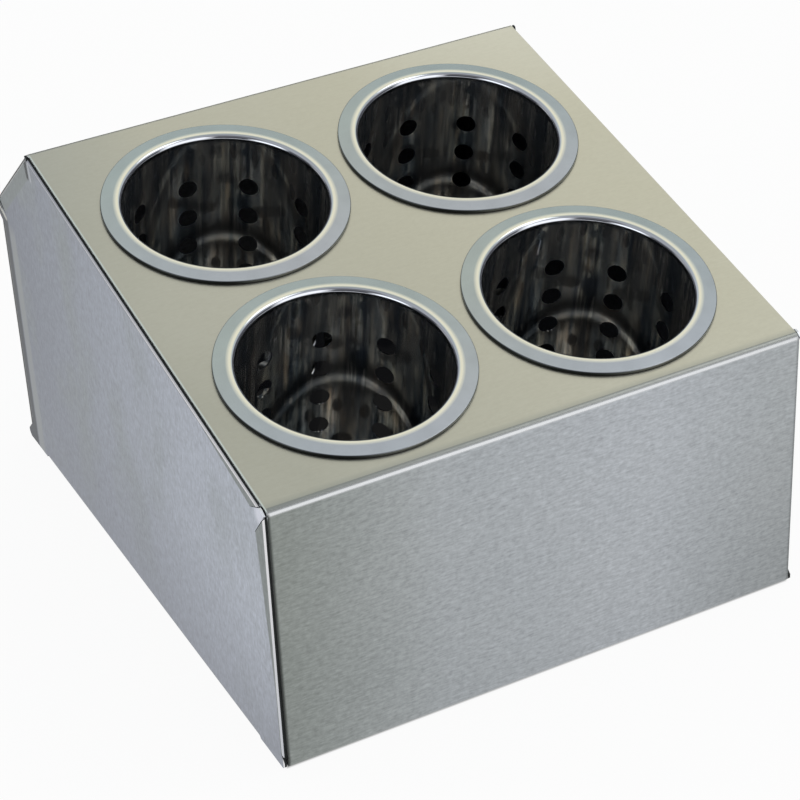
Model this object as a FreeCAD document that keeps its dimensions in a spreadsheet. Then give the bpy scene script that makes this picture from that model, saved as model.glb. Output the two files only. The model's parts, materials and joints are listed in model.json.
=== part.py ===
"""Cutlery cylinder rack: a folded stainless housing with a sloping top that holds four perforated cups.

Frame: +Z up, the front faces -Y, origin on the standing surface under the middle of the housing. Millimetres.
The housing is one sheet wrapped over front, top, rear slope and back, closed by two pan-folded side panels.
Each cup hangs by its rim in a round hole of the sloping top and lifts out square to that top.
"""

import FreeCAD, Part
import math
import os

import Sketcher
from FreeCAD import Vector

document = FreeCAD.newDocument("CutleryCylinderRack")

# Driving sizes
SIZES = {
    # housing
    "housing_width": 261.2,
    "housing_depth": 305.0,
    "front_height": 135.0,
    "top_tilt": 11.35,
    "rear_run": 53.5,
    "rear_height": 139.0,
    "sheet": 1.0,
    "wrap_bend": 3.5,
    "wrap_inset": 1.7,
    "return_flange": 12.0,
    "foot_corner": 2.0,
    # side panels
    "seam": 0.1,
    "side_flange": 12.0,
    "slope_flange": 15.0,
    "tip_inset": 0.4,
    "tip_corner": 2.5,
    "slit_root": 0.3,
    "slit_mouth": 1.8,
    "foot_relief": 5.0,
    "corner_relief": 5.0,
    "corner_mitre": 1.3,
    "end_relief": 1.8,
    "knee_relief": 8.5,
    "sharp_bend": 1.5,
    "front_bend": 2.4,
    "back_bend": 7.0,
    "strip_tilt": 2.5,
    "least_strip": 0.3,
    "front_strip": 8.1,
    "top_strip": 4.9,
    "slope_strip": 7.8,
    "front_taper": 92.0,
    "top_taper": 62.0,
    "bend_flats": 6,
    # cups
    "pitch_across": 120.8,
    "pitch_slope": 120.6,
    "grid_setback": 126.0,
    "hole_clearance": 1.0,
    "rest_gap": 0.3,
    "bore_radius": 47.0,
    "cup_height": 137.0,
    "cup_sheet": 0.6,
    "rim_radius": 57.0,
    "rim_edge": 1.3,
    "rim_crest": 2.2,
    "lip_radius": 2.6,
    "floor_chamfer": 6.0,
    # perforation of a cup
    "hole_radius": 4.75,
    "hole_sides": 10,
    "flats_per_column": 3,
    "first_row": 29.5,
    "row_pitch": 17.4,
    "hole_rows": 4,
    "hole_columns": 10,
    "drain_circle": 24.0,
    "drain_holes": 6,
}

CUPS = {
    # name: column and row in the grid, and the turn that the cup happens to stand at, in degrees
    "front_left_cup": (-1, -1, 3.0),
    "front_right_cup": (1, -1, 3.3),
    "rear_left_cup": (-1, 1, 15.5),
    "rear_right_cup": (1, 1, 18.3),
}


def make_sheet(values):
    """The spreadsheet that holds every driving size under its own alias."""
    sheet = document.addObject("Spreadsheet::Sheet", "Sizes")
    for row, (name, value) in enumerate(values.items(), start=1):
        sheet.set(f"A{row}", name)
        sheet.set(f"B{row}", str(value))
        sheet.setAlias(f"B{row}", name)
    document.recompute()
    return sheet


sizes = make_sheet(SIZES)


def size(name):
    """One driving size, read from the spreadsheet."""
    return float(sizes.get(name))


def value_of(owner, expression):
    """What an expression over the spreadsheet comes to now."""
    return float(owner.evalExpression(expression))


# Expressions shared by the housing and what seats in it
WRAP_EDGE = "(Sizes.housing_width / 2 - Sizes.wrap_inset)"
PEAK_Y = "(Sizes.housing_depth / 2 - Sizes.rear_run)"
PEAK_Z = "(Sizes.front_height + (Sizes.housing_depth - Sizes.rear_run) * tan(Sizes.top_tilt * 1 deg))"
HOUSING_CORNERS = {
    "front_foot": ("-Sizes.housing_depth / 2", "0"),
    "front_top": ("-Sizes.housing_depth / 2", "Sizes.front_height"),
    "peak": (PEAK_Y, PEAK_Z),
    "knee": ("Sizes.housing_depth / 2", "Sizes.rear_height"),
    "back_foot": ("Sizes.housing_depth / 2", "0"),
}


# Helpers for bodies and sketches
def new_body(name):
    body = document.addObject("PartDesign::Body", name)
    body.Label = name
    return body


def new_sketch(body, name, role):
    """A sketch on one of the body's own origin planes."""
    sketch = body.newObject("Sketcher::SketchObject", name)
    plane = [feature for feature in body.Origin.OriginFeatures if feature.Role == role][0]
    sketch.AttachmentSupport = [(plane, "")]
    sketch.MapMode = "FlatFace"
    return sketch


def pin_point(sketch, name, geometry, end, place):
    """Ties a point to the sketch's origin at distances that the spreadsheet drives."""
    for kind, expression in zip(("DistanceX", "DistanceY"), place):
        distance = value_of(sketch, expression)
        constraint = sketch.addConstraint(Sketcher.Constraint(kind, -1, 1, geometry, end, distance))
        label = f"{name}_{kind[-1].lower()}"
        sketch.renameConstraint(constraint, label)
        sketch.setExpression(f"Constraints.{label}", expression)


def draw_outline(sketch, corners, radii=None):
    """A closed outline through named corners. A corner with a radius is rounded."""
    names = list(corners)
    points = [Vector(*(value_of(sketch, part) for part in corners[name]), 0) for name in names]
    following = points[1:] + points[:1]
    lines = list(sketch.addGeometry([Part.LineSegment(a, b) for a, b in zip(points, following)]))
    for line, after in zip(lines, lines[1:] + lines[:1]):
        sketch.addConstraint(Sketcher.Constraint("Coincident", line, 2, after, 1))
    for line, name in zip(lines, names):
        pin_point(sketch, name, line, 1, corners[name])
    for line, name in zip(lines, names):
        if radii and name in radii:
            arc = sketch.GeometryCount
            sketch.fillet(line, 1, value_of(sketch, radii[name]), True, True)
            bound = sketch.addConstraint(Sketcher.Constraint("Radius", arc, value_of(sketch, radii[name])))
            sketch.renameConstraint(bound, f"{name}_radius")
            sketch.setExpression(f"Constraints.{name}_radius", radii[name])


def draw_circle(sketch, name, place, radius):
    """A circle whose centre and radius the spreadsheet drives."""
    centre = Vector(*(value_of(sketch, part) for part in place), 0)
    circle = sketch.addGeometry(Part.Circle(centre, Vector(0, 0, 1), value_of(sketch, radius)))
    pin_point(sketch, name, circle, 3, place)
    bound = sketch.addConstraint(Sketcher.Constraint("Radius", circle, value_of(sketch, radius)))
    sketch.renameConstraint(bound, f"{name}_radius")
    sketch.setExpression(f"Constraints.{name}_radius", radius)


def new_cut(body, name, sketch, sides, towards_normal=False):
    """A pocket that has to take something off the body."""
    before = body.Shape.Volume
    cut = body.newObject("PartDesign::Pocket", name)
    cut.Profile = sketch
    cut.SideType = sides
    cut.Reversed = towards_normal
    cut.Type = "ThroughAll"
    document.recompute()
    if body.Shape.Volume >= before:
        raise RuntimeError(f"{name} cuts nothing")
    return cut


# Wrap panel: front, top, rear slope and back in one folded sheet
def make_wrap_panel():
    body = new_body("wrap_panel")

    profile = new_sketch(body, "wrap_profile", "YZ_Plane")
    draw_outline(profile, HOUSING_CORNERS, {name: "Sizes.wrap_bend" for name in HOUSING_CORNERS})
    block = body.newObject("PartDesign::Pad", "wrap_block")
    block.Profile = profile
    block.SideType = "Symmetric"
    block.setExpression("Length", f"2 * {WRAP_EDGE}")
    document.recompute()

    ends = [
        f"Face{number}"
        for number, face in enumerate(block.Shape.Faces, start=1)
        if abs(abs(face.CenterOfMass.x) - value_of(body, WRAP_EDGE)) < size("seam")
    ]
    folded = body.newObject("PartDesign::Thickness", "wrap_sheet")
    folded.Base = (block, ends)
    folded.Mode = "Skin"
    folded.Join = "Arc"
    folded.Reversed = True
    folded.setExpression("Value", "Sizes.sheet")
    document.recompute()

    cut_underside(body)
    cut_foot_corners(body)
    cut_cup_holes(body)
    return body


def cut_underside(body):
    """Opens the underside, but for a return flange at front and back with mitred ends."""
    edge_x = f"{WRAP_EDGE} - Sizes.side_flange"
    edge_y = "Sizes.housing_depth / 2 - Sizes.return_flange"
    outline = {
        "front_left_in": (f"-({edge_x}) + Sizes.return_flange", f"-({edge_y})"),
        "front_left_out": (f"-{WRAP_EDGE}", "-Sizes.housing_depth / 2 + Sizes.wrap_bend"),
        "back_left_out": (f"-{WRAP_EDGE}", "Sizes.housing_depth / 2 - Sizes.wrap_bend"),
        "back_left_in": (f"-({edge_x}) + Sizes.return_flange", edge_y),
        "back_right_in": (f"{edge_x} - Sizes.return_flange", edge_y),
        "back_right_out": (WRAP_EDGE, "Sizes.housing_depth / 2 - Sizes.wrap_bend"),
        "front_right_out": (WRAP_EDGE, "-Sizes.housing_depth / 2 + Sizes.wrap_bend"),
        "front_right_in": (f"{edge_x} - Sizes.return_flange", f"-({edge_y})"),
    }
    opening = new_sketch(body, "underside_opening", "XY_Plane")
    draw_outline(opening, outline)
    cut = new_cut(body, "underside_cut", opening, "One side", towards_normal=True)
    cut.Type = "Length"
    cut.setExpression("Length", "Sizes.sheet * 1.5")
    document.recompute()


def cut_foot_corners(body):
    """Rounds the lower corners of the front and the back sheet: the cut runs round the outside of them."""
    outside = f"({WRAP_EDGE} + Sizes.foot_corner)"
    high, under = "2 * Sizes.foot_corner", "-Sizes.foot_corner"
    outline = {
        "left_high": (f"-{WRAP_EDGE}", high),
        "left_foot": (f"-{WRAP_EDGE}", "0"),
        "right_foot": (WRAP_EDGE, "0"),
        "right_high": (WRAP_EDGE, high),
        "right_high_out": (outside, high),
        "right_under": (outside, under),
        "left_under": (f"-{outside}", under),
        "left_high_out": (f"-{outside}", high),
    }
    corners = new_sketch(body, "foot_corners", "XZ_Plane")
    draw_outline(corners, outline, {name: "Sizes.foot_corner" for name in ("left_foot", "right_foot")})
    new_cut(body, "foot_corner_cut", corners, "Symmetric")


def cut_cup_holes(body):
    """Four round holes in the sloping top, square to it."""
    holes = new_sketch(body, "cup_holes", "XY_Plane")
    holes.setExpression("AttachmentOffset.Base.y", "-Sizes.housing_depth / 2")
    holes.setExpression("AttachmentOffset.Base.z", "Sizes.front_height")
    holes.AttachmentOffset = FreeCAD.Placement(Vector(), FreeCAD.Rotation(Vector(1, 0, 0), size("top_tilt")))
    holes.setExpression("AttachmentOffset.Rotation.Angle", "Sizes.top_tilt * 1 deg")
    for name, (column, row, _) in CUPS.items():
        draw_circle(holes, name, cup_place(column, row), "Sizes.bore_radius + Sizes.cup_sheet + Sizes.hole_clearance")
    cut = new_cut(body, "cup_hole_cut", holes, "Symmetric")
    cut.Type = "Length"
    cut.setExpression("Length", "Sizes.sheet * 6")
    document.recompute()


def cup_place(column, row):
    """Where a cup's axis meets the sloping top: across it, and up it from the front bend."""
    across = f"{column} * Sizes.pitch_across / 2"
    along = f"Sizes.grid_setback + {row} * Sizes.pitch_slope / 2"
    return across, along


# Solids that are made of flats, shared by side panels and cups
def flat_face(corners):
    return Part.Face(Part.makePolygon(corners + corners[:1]))


def flat_panels(rings):
    """The quads between each closed ring of corners and the next one."""
    panels = []
    for ring, following in zip(rings, rings[1:]):
        for number in range(len(ring)):
            panels.append(flat_face([ring[number - 1], ring[number], following[number], following[number - 1]]))
    return panels


def closed_solid(panels):
    shell = Part.Shell(panels)
    solid = Part.Solid(shell)
    solid.fixTolerance(1e-6)
    return solid if solid.Volume > 0 else Part.Solid(shell.reversed())


# Side panels: a flat web whose edges fold inwards behind the wrap sheet
def inward(direction):
    """The side on which a clockwise outline in the YZ plane has its inside."""
    return Vector(0, direction.z, -direction.y)


def edge_directions(corners):
    """The direction of each edge of a closed outline, from its own corner to the next."""
    return [(after - corner).normalize() for corner, after in zip(corners, corners[1:] + corners[:1])]


def offset_corners(corners, insets):
    """Corners of the outline that lies the given distances inside the edges of a closed one."""
    directions = edge_directions(corners)
    moved = []
    for number, (corner, after) in enumerate(zip(corners, directions)):
        before, in_after = directions[number - 1], inward(after)
        start = corner + inward(before) * insets[number - 1]
        reach = (corner + in_after * insets[number] - start).dot(in_after) / before.dot(in_after)
        moved.append(start + before * reach)
    return moved


def edge_folds(lengths):
    """For each edge of the web: its leg, its bend, the relief and the slit's mouth at either end, and the
    strip beside the bend that leans in a little, as (distance along, width)."""
    front, top, slope, back, foot = lengths
    flange, sharp, least = size("side_flange"), size("sharp_bend"), size("least_strip")
    narrow, wide = size("slit_root"), size("slit_mouth")
    bent, corner = (size("wrap_bend") / 2, narrow), (size("corner_relief"), narrow)
    feet, foot_gap = (size("foot_relief"), narrow), (flange + size("return_flange"), narrow)
    end, slit, knee = (size("end_relief"), narrow), (size("end_relief"), wide), (size("knee_relief"), wide)
    front_taper, top_taper = front - size("front_taper"), size("top_taper")
    front_strip = [(0, least), (front_taper, least), (front, size("front_strip"))]
    return [
        (flange, size("front_bend"), feet, bent, front_strip),
        (flange, sharp, corner, end, [(0, size("top_strip")), (top_taper, least), (top, least)]),
        (size("slope_flange"), sharp, slit, end, [(0, size("slope_strip")), (slope, size("slope_strip"))]),
        (flange, size("back_bend"), knee, feet, [(0, least), (back, least)]),
        (flange, sharp, foot_gap, foot_gap, [(0, least), (foot, least)]),
    ]


class Edge:
    """One edge of the web, from the corner where its fold line starts to the corner where it ends."""

    def __init__(self, start, finish, mitres, fold):
        self.start = start
        self.length = (finish - start).Length
        self.along = (finish - start).normalize()
        self.mitres = mitres
        self.leg, self.bend, *self.ends, self.stations = fold

    def at(self, reach, rise, depth=0.0):
        """A point by its distance along the fold line, in from it, and inwards from the web's outer face."""
        return self.start + self.along * reach + inward(self.along) * rise + Vector(depth, 0, 0)

    def fold_section(self, reach, strip):
        """Cross-section of the fold: the leaning strip, a quarter bend and a leg behind the wrap sheet."""
        sheet, flats, bend = size("sheet"), int(size("bend_flats")), self.bend
        lean = strip * math.tan(math.radians(size("strip_tilt")))
        turns = [math.pi / 2 * number / flats for number in range(flats + 1)]
        outside, inside = (
            [self.at(reach, bend + strip, bend - radius)]
            + [self.at(reach, bend - radius * math.sin(turn), bend - radius * math.cos(turn) + lean) for turn in turns]
            for radius in (bend, bend - sheet)
        )
        return outside + [self.at(reach, 0, self.leg), self.at(reach, sheet, self.leg)] + inside[::-1]

    def fold(self):
        """The folded strip, cut off at both ends along the corners' bisectors."""
        sheet = size("sheet")
        sections = [self.fold_section(*station) for station in self.stations]
        ends = [flat_face(sections[0]), flat_face(sections[-1])]
        strip = closed_solid(flat_panels(sections) + ends)
        inner = self.bend + max(strip for _, strip in self.stations) + sheet
        zone = [
            self.at(self.end_reach(0, -sheet), -sheet, -sheet),
            self.at(self.end_reach(0, inner), inner, -sheet),
            self.at(self.end_reach(1, inner), inner, -sheet),
            self.at(self.end_reach(1, -sheet), -sheet, -sheet),
        ]
        return strip.common(flat_face(zone).extrude(Vector(self.leg + 2 * sheet, 0, 0)))

    def end_reach(self, side, rise, slit=0.0):
        """How far along the fold is cut off at one of its ends, or how far the slit beside it reaches."""
        away = self.ends[side][0] + self.mitres[side] * rise - slit
        return self.length - away if side else away

    def crease_end(self, side):
        """Where the mitred end meets the crease between web and strip: reach and rise."""
        ends = self.stations[::-1] if side else self.stations
        (reach, strip), (following, other) = ends[:2]
        narrowing = (other - strip) / abs(following - reach)
        away = self.ends[side][0] + self.mitres[side] * (self.bend + strip)
        away /= 1 - self.mitres[side] * narrowing
        return (self.length - away if side else away), self.bend + strip + narrowing * away

    def outline(self, tip_rise):
        """The web's outline along this edge: out to the tips beside the fold, in to its crease between them."""
        root = size("slit_root")
        (first, first_rise), (last, last_rise) = self.crease_end(0), self.crease_end(1)
        mouths = [self.at(self.end_reach(side, tip_rise, self.ends[side][1]), tip_rise) for side in (0, 1)]
        between = [
            self.at(reach, self.bend + strip) for reach, strip in self.stations if first < reach < last
        ]
        crease = [self.at(first, first_rise), *between, self.at(last, last_rise)]
        return [
            mouths[0], self.at(first - root, first_rise), *crease, self.at(last + root, last_rise), mouths[1],
        ]


def side_panel_shape():
    """The left panel: its web lies outside the wrap sheet's edge, its folds reach behind the sheet."""
    web_x = -size("housing_width") / 2
    corners = [
        Vector(web_x, *(value_of(sizes, part) for part in place)) for place in HOUSING_CORNERS.values()
    ]
    directions = edge_directions(corners)
    mitres = [math.tan(directions[number - 1].getAngle(after) / 2) for number, after in enumerate(directions)]
    mitres[1] = size("corner_mitre")
    behind = size("sheet") + size("seam")
    fold_lines = offset_corners(corners, [behind] * 4 + [0])
    tips = offset_corners(corners, [size("tip_inset")] * 4 + [0])
    runs = list(zip(fold_lines, fold_lines[1:] + fold_lines[:1], zip(mitres, mitres[1:] + mitres[:1])))
    folds = edge_folds([(finish - start).Length for start, finish, _ in runs])
    edges = [Edge(*run, fold) for run, fold in zip(runs, folds)]

    front, top, slope, back, foot = edges
    front_foot, front_top, peak, knee, back_foot = tips
    tip_rise = size("tip_inset") - behind
    tip = front_top + directions[1] * size("tip_corner")
    off_foot, off_ground = Vector(0, 0, size("foot_corner")), Vector(0, size("foot_corner"), 0)
    outline = [front_foot + off_foot, *front.outline(tip_rise), tip, *top.outline(tip_rise), peak]
    outline += [*slope.outline(tip_rise), knee, *back.outline(tip_rise)]
    outline += [back_foot + off_foot, back_foot - off_ground, *foot.outline(0), front_foot + off_ground]
    web = flat_face(outline).extrude(Vector(size("sheet"), 0, 0))
    return web.fuse([edge.fold() for edge in edges]).removeSplitter()


def make_side_panels():
    left = document.addObject("Part::Feature", "left_side_panel")
    left.Label = "left_side_panel"
    left.Shape = side_panel_shape()
    left.Placement = FreeCAD.Placement()
    right = document.addObject("Part::Mirroring", "right_side_panel")
    right.Label = "right_side_panel"
    right.Source = left
    right.Normal = Vector(1, 0, 0)
    return [left, right]


# Cups: drawn cylinders with a turned-over rim and a field of round holes. Forty holes in each of four cups
# ask for light solids, so what is round is made of flats, and each column of holes stands on a flat of its own
def corner_ring(radius, sides, height=0.0, offset=0.0):
    """Corners of a regular polygon that lie as far outside the circle as its sides lie inside."""
    reach = 2 * radius / (1 + math.cos(math.pi / sides))
    angles = [2 * math.pi * (number + offset) / sides for number in range(sides)]
    return [Vector(reach * math.cos(angle), reach * math.sin(angle), height) for angle in angles]


def cup_section():
    """The drawn sheet in section as (radius, height), from the inner floor over the rim to the base."""
    bore, sheet, rim = size("bore_radius"), size("cup_sheet"), size("rim_radius")
    crest, edge, lip = size("rim_crest"), size("rim_edge"), size("lip_radius")
    base, chamfer = crest - size("cup_height"), size("floor_chamfer")
    wall, middle = bore + sheet, lip * (1 - math.sqrt(0.5))
    return [
        (bore - chamfer, base + sheet),
        (bore, base + sheet + chamfer),
        (bore, crest - lip),
        (bore + middle, crest - middle),
        (bore + lip, crest),
        (rim, edge),
        (rim, 0),
        (rim - sheet, 0),
        (rim - sheet, edge - sheet),
        (bore + lip, crest - sheet),
        (wall, crest - lip),
        (wall, base + chamfer),
        (wall - chamfer, base),
    ]


def drawn_sheet(section, sides):
    """A closed solid of flat panels: the section carried round the axis from corner to corner."""
    rings = [corner_ring(radius, sides, height, 0.5) for radius, height in section]
    return closed_solid(flat_panels(rings) + [flat_face(rings[0]), flat_face(rings[-1])])


def drill(length):
    """A straight punch that stands on the XY plane."""
    return flat_face(corner_ring(size("hole_radius"), int(size("hole_sides")))).extrude(Vector(0, 0, length))


def wall_punches():
    """The holes of the wall: rows down the cup, columns round it."""
    columns = int(size("hole_columns"))
    start = size("bore_radius") - size("cup_sheet")
    punch = drill(3 * size("cup_sheet"))
    punch.rotate(Vector(), Vector(0, 1, 0), 90)
    punches = []
    for row in range(int(size("hole_rows"))):
        height = size("rim_crest") - size("first_row") - row * size("row_pitch")
        for column in range(columns):
            hole = punch.translated(Vector(start, 0, height))
            hole.rotate(Vector(), Vector(0, 0, 1), 360 * column / columns)
            punches.append(hole)
    return punches


def floor_punches():
    """Drain holes: one in the middle of the floor and a ring round it."""
    count = int(size("drain_holes"))
    start = size("rim_crest") - size("cup_height") - size("cup_sheet")
    middle = drill(3 * size("cup_sheet")).translated(Vector(0, 0, start))
    ring = [middle.translated(Vector(size("drain_circle"), 0, 0)) for _ in range(count)]
    for number, hole in enumerate(ring):
        hole.rotate(Vector(), Vector(0, 0, 1), 360 * number / count)
    return [middle] + ring


def cup_shape():
    """One cup on its own axis. Its rim's foot stands at height 0."""
    sides = int(size("hole_columns") * size("flats_per_column"))
    return drawn_sheet(cup_section(), sides).cut(wall_punches() + floor_punches())


def make_cup(name, shape, column, row, turn):
    """Hangs a cup in its hole: its rim stands just off the top and its axis is square to it."""
    cup = document.addObject("Part::Feature", name)
    cup.Label = name
    cup.Shape = shape
    across, along = cup_place(column, row)
    lean = "Sizes.top_tilt * 1 deg"
    cup.Placement = FreeCAD.Placement(
        Vector(),
        FreeCAD.Rotation(Vector(1, 0, 0), size("top_tilt")) * FreeCAD.Rotation(Vector(0, 0, 1), turn),
    )
    cup.setExpression("Placement.Base.x", across)
    cup.setExpression(
        "Placement.Base.y",
        f"-Sizes.housing_depth / 2 + ({along}) * cos({lean}) - Sizes.rest_gap * sin({lean})",
    )
    cup.setExpression(
        "Placement.Base.z",
        f"Sizes.front_height + ({along}) * sin({lean}) + Sizes.rest_gap * cos({lean})",
    )
    return cup


def check_document(parts):
    """Stops before anything is written if a feature failed or a piece is not a sound solid."""
    document.recompute()
    for entry in document.Objects:
        if {"Invalid", "Error"} & set(entry.State):
            raise RuntimeError(f"{entry.Name} did not build: {entry.State}")
    for part in parts:
        if part.Shape.isNull() or not part.Shape.isValid() or len(part.Shape.Solids) != 1:
            raise RuntimeError(f"{part.Label} is not one valid solid")


def write_parts(parts):
    os.makedirs("parts", exist_ok=True)
    for part in parts:
        part.Shape.exportStep(f"parts/{part.Label}.step")
        print(f"{part.Label}: {part.Shape.Volume / 1000:.1f} cm3")


parts = [make_wrap_panel()]
parts += make_side_panels()
drawn_cup = cup_shape()
parts += [make_cup(name, drawn_cup, *place) for name, place in CUPS.items()]
check_document(parts)
write_parts(parts)
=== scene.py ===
"""Cutlery cylinder rack: looks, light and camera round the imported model, in metres in its own frame."""

import json
import math

import bpy
from mathutils import Matrix, Vector


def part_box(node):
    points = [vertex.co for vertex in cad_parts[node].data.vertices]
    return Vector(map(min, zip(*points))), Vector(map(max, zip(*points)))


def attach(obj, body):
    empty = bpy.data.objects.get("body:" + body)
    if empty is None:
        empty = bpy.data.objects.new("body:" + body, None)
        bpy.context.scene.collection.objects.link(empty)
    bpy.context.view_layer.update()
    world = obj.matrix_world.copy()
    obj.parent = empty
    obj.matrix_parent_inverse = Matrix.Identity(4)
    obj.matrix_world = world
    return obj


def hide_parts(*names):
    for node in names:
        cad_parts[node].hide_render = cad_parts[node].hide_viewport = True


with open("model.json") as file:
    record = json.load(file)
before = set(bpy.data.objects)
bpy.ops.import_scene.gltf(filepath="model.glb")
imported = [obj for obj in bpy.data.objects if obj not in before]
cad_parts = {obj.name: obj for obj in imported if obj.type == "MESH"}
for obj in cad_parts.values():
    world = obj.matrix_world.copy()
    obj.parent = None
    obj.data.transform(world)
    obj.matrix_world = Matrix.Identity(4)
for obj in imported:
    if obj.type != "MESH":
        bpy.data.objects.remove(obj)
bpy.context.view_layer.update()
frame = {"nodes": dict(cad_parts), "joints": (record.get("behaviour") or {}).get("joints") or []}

MM = 0.001

# Cup, in millimetres on its own axis: height 0 is the rim's foot, on the sloping top
BORE = 47.0
CUP_SHEET = 0.6
RIM_RADIUS = 57.0
RIM_EDGE = 1.3
RIM_CREST = 2.2
RIM_ROUND = 0.45
LIP_RADIUS = 2.6
CUP_HEIGHT = 137.0
FLOOR_ROUND = 7.0
HOLE_RADIUS = 4.75
FIRST_ROW = 29.5
ROW_PITCH = 17.4
HOLE_ROWS = 4
HOLE_COLUMNS = 10
DRAIN_CIRCLE = 24.0
DRAIN_HOLES = 6
DRAIN_MIDDLE = 12.0
BASE_LEVEL = RIM_CREST - CUP_HEIGHT
FLOOR_LEVEL = BASE_LEVEL + CUP_SHEET
INNER_ROUND = FLOOR_ROUND - CUP_SHEET
CORNER = (BORE - INNER_ROUND, FLOOR_LEVEL + INNER_ROUND)

# The turn at which each loose cup stands, in degrees from +X towards the back
CUP_TURNS = {
    "front_left_cup": 3.0,
    "front_right_cup": 3.3,
    "rear_left_cup": 15.5,
    "rear_right_cup": 18.3,
}

# Mesh density of a cup: steps round a column of holes, up a row, and rings from a hole to its border
CELL_STEPS = 18
CELL_RISE_STEPS = 8
CELL_RINGS = (0.0, 0.06, 0.2, 0.42, 0.7, 1.0)

# Steps round the lip above and below, the rim's outer edge and the corner at the cup's foot
LIP_STEPS = 14
UNDER_STEPS = 6
EDGE_STEPS = 5
CORNER_STEPS = 10

# Housing, in millimetres: half its width over the sides and over the wrap sheet, and half its depth
WEB = -1000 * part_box("left_side_panel")[0][0]
WRAP_SIDE = 1000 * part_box("wrap_panel")[1][0]
WRAP_BACK = 1000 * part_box("wrap_panel")[1][1]
FRONT_HEIGHT = 135.0
KNEE_HEIGHT = 139.0
PEAK_SETBACK = 53.5
TOP_TILT = math.radians(11.35)

# Corners of the side's outline as (Y, Z), and the directions that halve its angles at two of them
FRONT_TOP = (-WRAP_BACK, FRONT_HEIGHT)
PEAK = (WRAP_BACK - PEAK_SETBACK, FRONT_HEIGHT + (2 * WRAP_BACK - PEAK_SETBACK) * math.tan(TOP_TILT))
KNEE = (WRAP_BACK, KNEE_HEIGHT)
PEAK_MITRE = (-0.255, -0.967)
KNEE_MITRE = (-0.91, -0.414)

# The same places in metres, for the masks
FRONT_AT = -WRAP_BACK * MM
BACK_AT = WRAP_BACK * MM
PEAK_AT = PEAK[0] * MM
FRONT_TOP_AT = FRONT_HEIGHT * MM

# Camera, as solved from the photograph
CAMERA_AZIMUTH = -26.231
CAMERA_ELEVATION = 33.009
CAMERA_ROLL = -2.892
CAMERA_DISTANCE = 1.24564
CAMERA_TARGET = Vector((0.008011, 0.0, 0.057941))
CAMERA_FOCUS = 2593.1
IMAGE_SIDE = 800
SENSOR = 36.0

# Grain of the brushed sheets: relief in metres, and how fine it is along X, Y and Z
GRAIN_RELIEF = 0.00003
GRAIN_ACROSS = (170.0, 950.0, 950.0)
GRAIN_UPRIGHT = (950.0, 950.0, 190.0)
STREAK_RELIEF = 0.00002


def rgb(red, green, blue):
    return (red, green, blue, 1.0)


def grey(value):
    return rgb(value, value, value)


# Node helpers
class Nodes:
    """A short way to build one node tree."""

    def __init__(self, tree):
        self.tree = tree
        tree.nodes.clear()

    def add(self, kind, inputs=None, **settings):
        node = self.tree.nodes.new(kind)
        for name, value in settings.items():
            setattr(node, name, value)
        for name, value in (inputs or {}).items():
            self.feed(node, name, value)
        return node

    def feed(self, node, name, value):
        socket = node.inputs[name]
        if isinstance(value, bpy.types.NodeSocket):
            self.tree.links.new(value, socket)
        else:
            socket.default_value = value

    def math(self, operation, *values, clamp=False):
        node = self.add("ShaderNodeMath", operation=operation, use_clamp=clamp)
        for number, value in enumerate(values):
            self.feed(node, number, value)
        return node.outputs[0]

    def vector_math(self, operation, *values, output="Vector"):
        node = self.add("ShaderNodeVectorMath", operation=operation)
        for number, value in enumerate(values):
            self.feed(node, number, value)
        return node.outputs[output]

    def scaled(self, vector, scale):
        return self.vector_math("MULTIPLY", vector, scale)

    def dot(self, first, second):
        return self.vector_math("DOT_PRODUCT", first, second, output="Value")

    def parts(self, vector):
        return self.add("ShaderNodeSeparateXYZ", {"Vector": vector}).outputs

    def noise(self, vector, scale, detail=2.0, roughness=0.5):
        node = self.add(
            "ShaderNodeTexNoise",
            {"Vector": vector, "Scale": scale, "Detail": detail, "Roughness": roughness},
        )
        return node.outputs["Fac"]

    def span(self, value, low, high, to_low=0.0, to_high=1.0):
        """The value's range low..high stretched to to_low..to_high, and held there."""
        node = self.add(
            "ShaderNodeMapRange",
            {"Value": value, "From Min": low, "From Max": high, "To Min": to_low, "To Max": to_high},
        )
        return node.outputs["Result"]

    def window(self, value, rise, top, end, fall):
        """1 from top to end, 0 before rise and after fall, with straight flanks."""
        return self.math("MULTIPLY", self.span(value, rise, top), self.span(value, end, fall, 1.0, 0.0))

    def share(self, value, part):
        """A part of a value, such as a mask at less than its full strength."""
        return self.math("MULTIPLY", value, part)

    def squared(self, value):
        return self.math("MULTIPLY", value, value)

    def both(self, *masks):
        result = masks[0]
        for mask in masks[1:]:
            result = self.math("MULTIPLY", result, mask)
        return result

    def blend(self, factor, first, second):
        node = self.add("ShaderNodeMix", data_type="RGBA")
        self.feed(node, 0, factor)
        self.feed(node, 6, first)
        self.feed(node, 7, second)
        return node.outputs[2]

    def mix(self, factor, first, second):
        node = self.add("ShaderNodeMix", data_type="FLOAT")
        self.feed(node, 0, factor)
        self.feed(node, 2, first)
        self.feed(node, 3, second)
        return node.outputs[0]

    def bump(self, height, distance, strength=1.0):
        node = self.add("ShaderNodeBump", {"Height": height, "Strength": strength, "Distance": distance})
        return node.outputs["Normal"]


def new_material(name):
    material = bpy.data.materials.new(name)
    material.use_nodes = True
    return material, Nodes(material.node_tree)


def finish_material(nodes, shader):
    nodes.add("ShaderNodeOutputMaterial", {"Surface": shader})


def finish_metal(nodes, colour, rough, normal, metal=1.0, gloss=0.5):
    shader = nodes.add(
        "ShaderNodeBsdfPrincipled",
        {
            "Base Color": colour,
            "Roughness": rough,
            "Metallic": metal,
            "Specular IOR Level": gloss,
            "Normal": normal,
        },
    )
    finish_material(nodes, shader.outputs["BSDF"])


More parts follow.
